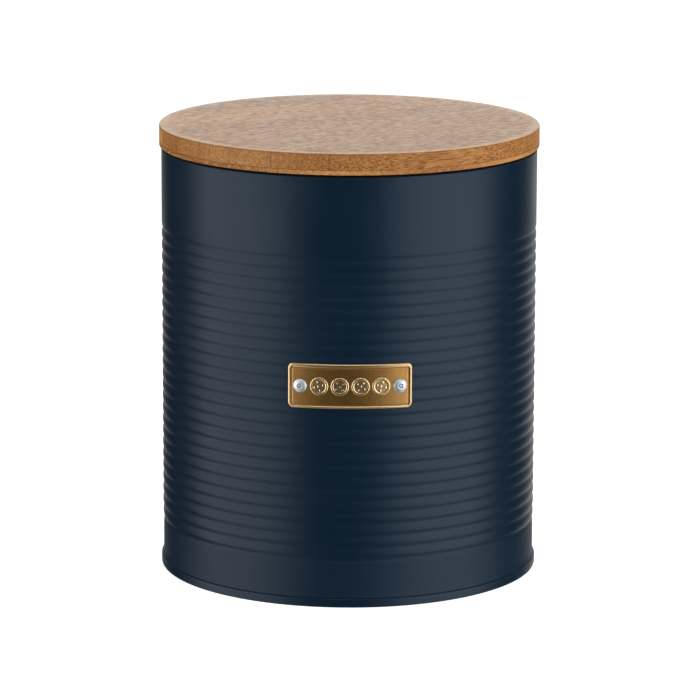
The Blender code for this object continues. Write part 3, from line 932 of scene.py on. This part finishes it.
def mark_staves(shader, colour, across, top):
    """Gives each stave its own shade and draws the glue joints between them."""
    place = shader.math("DIVIDE", shader.math("ADD", across, STAVE_SHIFT), STAVE_WIDTH)
    number = shader.math("FLOOR", shader.math("ADD", place, 0.5))
    chance = shader.node("ShaderNodeTexWhiteNoise", {"noise_dimensions": "1D"}, W=number)
    shade = shader.remap(chance.outputs[0], 0.0, 1.0, 0.9, 1.1, "LINEAR")
    grey = shader.node("ShaderNodeCombineXYZ", X=shade, Y=shade, Z=shade).outputs[0]
    colour = shader.mix(1.0, colour, grey, "MULTIPLY")
    edge = shader.math("ABSOLUTE", shader.math("SUBTRACT", shader.math("FRACT", place), 0.5))
    bold = shader.remap(top, 0.0, 1.0, 0.5, 0.3)
    joint = shader.math("MULTIPLY", shader.remap(edge, 0.0, 0.026, 1.0, 0.0), bold)
    return shader.mix(joint, colour, WOOD_GLUE)


def mark_edges(shader, colour, radius, height, top):
    """Draws the glue line over the ply, a pale band round the top's rim as painted highlight, and a
    darker line on its eased corner as painted shade.
    """
    to_ply = shader.math("ABSOLUTE", shader.math("SUBTRACT", height, PLY_TOP))
    colour = shader.mix(shader.remap(to_ply, 0.05 * MM, 0.3 * MM, 0.6, 0.0), colour, WOOD_GLUE)
    # Painted highlight: a pale band round the rim of the lid's top.
    rim = shader.remap(radius, LID_RADIUS - 6.0 * MM, LID_RADIUS - 1.0 * MM, 0.0, 0.5)
    colour = shader.mix(shader.math("MULTIPLY", rim, top), colour, WOOD_RIM_HIGHLIGHT)
    # Painted shade: a darker line along the eased corner between the top and the side.
    corner = shader.remap(height, LID_TOP - 0.9 * MM, LID_TOP - 0.35 * MM, 0.0, 0.5)
    corner = shader.math("MULTIPLY", corner, shader.math("SUBTRACT", 1.0, top))
    return shader.mix(corner, colour, WOOD_BUNDLE_AND_EDGE_SHADE)


def bamboo(name, grain_angle, staves):
    """Lacquered bamboo, glossier and clearer on the lid's top than on its sides."""
    shader = Shader(name)
    turned = shader.position((1, 1, 1), -grain_angle)
    along, across, height = shader.node("ShaderNodeSeparateXYZ", Vector=turned).outputs
    top = shader.remap(height, LID_TOP - 0.3 * MM, LID_TOP - 0.05 * MM)
    flecks = shader.noise(shader.position(FLECK_SCALE, -grain_angle), 1.0, 3.0, 0.65, 0.4)
    # Light and dark bands across the staves, partly painted shade on the lid's side.
    tone_and_shade = wood_tone_and_shade(shader, across, top)
    colour = wood_grain(shader, grain_angle, flecks, tone_and_shade, top)
    if staves:
        colour = mark_staves(shader, colour, across, top)
    colour = mark_edges(shader, colour, shader.length(along, across), height, top)
    lacquer = shader.remap(flecks, 0.3, 0.7, 0.36, 0.50)
    shine = shader.remap(flecks, 0.38, 0.62, 0.90, 0.28)
    shader.set(Base_Color=colour, Roughness=shader.remap(top, 0.0, 1.0, 0.65, lacquer))
    shader.set(Coat_Weight=shader.math("MULTIPLY", top, shine), Coat_Roughness=0.35)
    shader.set(Specular_IOR_Level=0.15)
    shader.bump(flecks, 0.5, 0.1 * MM)
    return shader.material


def silicone():
    """Milky matt silicone."""
    shader = Shader("silicone")
    cloud = shader.noise(shader.position(), 300.0, 3.0, 0.6)
    shader.set(Base_Color=shader.mix(cloud, SILICONE_DULL, SILICONE_PALE), Roughness=0.45)
    shader.set(Subsurface_Weight=0.25, Subsurface_Scale=1.0)
    shader.surface.inputs["Subsurface Radius"].default_value = (2 * MM, 2 * MM, 2 * MM)
    shader.bump(cloud, 0.05, 0.1 * MM)
    return shader.material


# ---------------------------------------------------------------- stage


# Camera, in metres, radians and millimetres of lens
CAMERA_REACH = 1.8396
CAMERA_HEIGHT = 0.4937
CAMERA_ASIDE = 0.6 * MM
CAMERA_ORBIT = radians(-0.5)
CAMERA_PITCH = radians(12.167)
CAMERA_ROLL = radians(0.185)
CAMERA_LENS = 214.1
SENSOR_WIDTH = 36.0

# Floor, lights and the two colours of the surroundings
FLOOR_REACH = 30.0
FLOOR_GLOW = 0.72
FLOOR_DULL = (0.90, 0.90, 0.895)
FLOOR_PALE = (0.93, 0.93, 0.925)
SOFTBOX_AIM = Vector((0.0, 0.0, 0.1))
STUDIO_COLOUR = (0.8, 0.785, 0.745, 1.0)
SEEN_COLOUR = (0.95, 0.95, 0.95, 1.0)


def make_camera():
    """The photograph's camera: where it stands, how far it looks down, and its slight roll."""
    data = bpy.data.cameras.new("camera")
    data.lens = CAMERA_LENS
    data.sensor_width = SENSOR_WIDTH
    camera = bpy.data.objects.new("camera", data)
    orbit = Matrix.Rotation(CAMERA_ORBIT, 3, "Z")
    pitch = Matrix.Rotation(pi / 2 - CAMERA_PITCH, 3, "X")
    roll = Matrix.Rotation(CAMERA_ROLL, 3, "Z")
    camera.location = orbit @ Vector((CAMERA_ASIDE, -CAMERA_REACH, CAMERA_HEIGHT))
    camera.rotation_euler = (orbit @ pitch @ roll).to_euler()
    bpy.context.scene.collection.objects.link(camera)
    bpy.context.scene.camera = camera


def make_floor():
    """A white floor that glows by itself, casts nothing on the tin and shows no shadow."""
    mesh = bpy.data.meshes.new("floor")
    corners = [(FLOOR_REACH * x, FLOOR_REACH * y, 0) for x, y in ((-1, -1), (1, -1), (1, 1), (-1, 1))]
    mesh.from_pydata(corners, [], [(0, 1, 2, 3)])
    shader = Shader("floor")
    mottle = shader.noise(shader.position(), 4.0, 2.0, 0.5)
    colour = shader.mix(mottle, FLOOR_DULL, FLOOR_PALE)
    shader.set(Base_Color=colour, Roughness=0.8)
    shader.set(Emission_Color=colour, Emission_Strength=FLOOR_GLOW)
    mesh.materials.append(shader.material)
    floor = bpy.data.objects.new("floor", mesh)
    floor.visible_glossy = False
    floor.visible_diffuse = False
    floor.visible_shadow = False
    bpy.context.scene.collection.objects.link(floor)


def add_softbox(name, azimuth, distance, middle, size, glow, mirrored=True, diffuse=True):
    """A soft box facing the tin, its azimuth measured to the right of the front."""
    width, height = size
    data = bpy.data.lights.new(name, "AREA")
    data.shape = "RECTANGLE"
    data.size = width
    data.size_y = height
    data.energy = glow * pi * width * height
    light = bpy.data.objects.new(name, data)
    turn = radians(azimuth)
    light.location = (distance * sin(turn), -distance * cos(turn), middle)
    aim = SOFTBOX_AIM - light.location
    light.rotation_euler = aim.to_track_quat("-Z", "Y").to_euler()
    light.visible_glossy = mirrored
    light.visible_diffuse = diffuse
    bpy.context.scene.collection.objects.link(light)


# The world's light by direction: where each glow starts, where it ends, and its share at both
BACKDROP_SHIFT = 0.1
BACKDROP_SIDES = (0.25, 0.6, 1.3, 0.0)
BACKDROP_BACK = (0.0, 0.3, 0.0, 1.0)
CEILING_GLOW = (0.3, 0.95, 0.02, 0.25)
TABLE_DOWN = (-0.35, -0.7, 0.0, 1.0)
TABLE_SIDES = (0.25, 0.55, 0.0, 1.0)
TABLE_BACK = (0.4, 0.0, 0.0, 1.0)
TABLE_NEAR = (-0.5, -0.85, 0.0, 0.25)


def make_world():
    """A studio round the tin: bright backdrop, lit table at both sides, plain white to the camera."""
    world = bpy.data.worlds.new("studio")
    world.use_nodes = True
    world.node_tree.nodes.clear()
    maker = NodeMaker(world.node_tree)
    point = maker.node("ShaderNodeTexCoord").outputs["Generated"]
    x, y, z = maker.node("ShaderNodeSeparateXYZ", Vector=point).outputs
    aside = maker.math("ABSOLUTE", maker.math("SUBTRACT", x, BACKDROP_SHIFT))
    backdrop = maker.remap(aside, *BACKDROP_SIDES)
    backdrop = maker.math("MULTIPLY", backdrop, maker.remap(y, *BACKDROP_BACK))
    table = maker.remap(maker.math("ABSOLUTE", x), *TABLE_SIDES)
    table = maker.math("MULTIPLY", table, maker.remap(y, *TABLE_BACK))
    table = maker.math("MULTIPLY", table, maker.remap(z, *TABLE_DOWN))
    table = maker.math("ADD", table, maker.remap(z, *TABLE_NEAR))
    glow = maker.math("ADD", maker.math("ADD", backdrop, table), maker.remap(z, *CEILING_GLOW))
    studio = maker.node("ShaderNodeBackground", Color=STUDIO_COLOUR, Strength=glow).outputs[0]
    pale = maker.node("ShaderNodeBackground", Color=SEEN_COLOUR).outputs[0]
    seen = maker.node("ShaderNodeLightPath").outputs["Is Camera Ray"]
    mixed = maker.node("ShaderNodeMixShader", i0=seen, i1=studio, i2=pale).outputs[0]
    maker.node("ShaderNodeOutputWorld", Surface=mixed)
    bpy.context.scene.world = world


def make_stage():
    """The camera and all that lights the tin or stands behind it."""
    make_camera()
    make_floor()
    make_world()
    add_softbox("softbox_left", -70.0, 1.6, 0.15, (2.05, 2.0), 2.15)
    add_softbox("softbox_right", 58.5, 1.6, 0.15, (2.0, 2.0), 2.2)
    add_softbox("overhead", 0.0, 0.2, 1.8, (1.6, 1.2), 1.1)
    add_softbox("fill_right", 42.0, 2.6, 1.0, (2.2, 1.6), 2.7, mirrored=False)
    add_softbox("fill_left", -50.0, 2.6, 1.0, (2.2, 1.6), 0.3, mirrored=False)
    add_softbox("glint", 0.0, 1.2, 1.15, (1.3, 0.5), 1.3, diffuse=False)
    bpy.context.scene.view_settings.view_transform = "Standard"


def main():
    make_stage()
    navy = navy_paint()
    make_wall(navy)
    make_bottom(navy)
    make_plate(brass())
    alloy = rivet_alloy()
    steel = mandrel_steel()
    make_rivet("left", -1, alloy, steel)
    make_rivet("right", 1, alloy, steel)
    make_staves(bamboo("bamboo_staves", GRAIN_ANGLE, True))
    cross = bamboo("bamboo_cross", GRAIN_ANGLE + pi / 2, False)
    make_ply(cross)
    make_plug(cross)
    make_seal(silicone())


main()
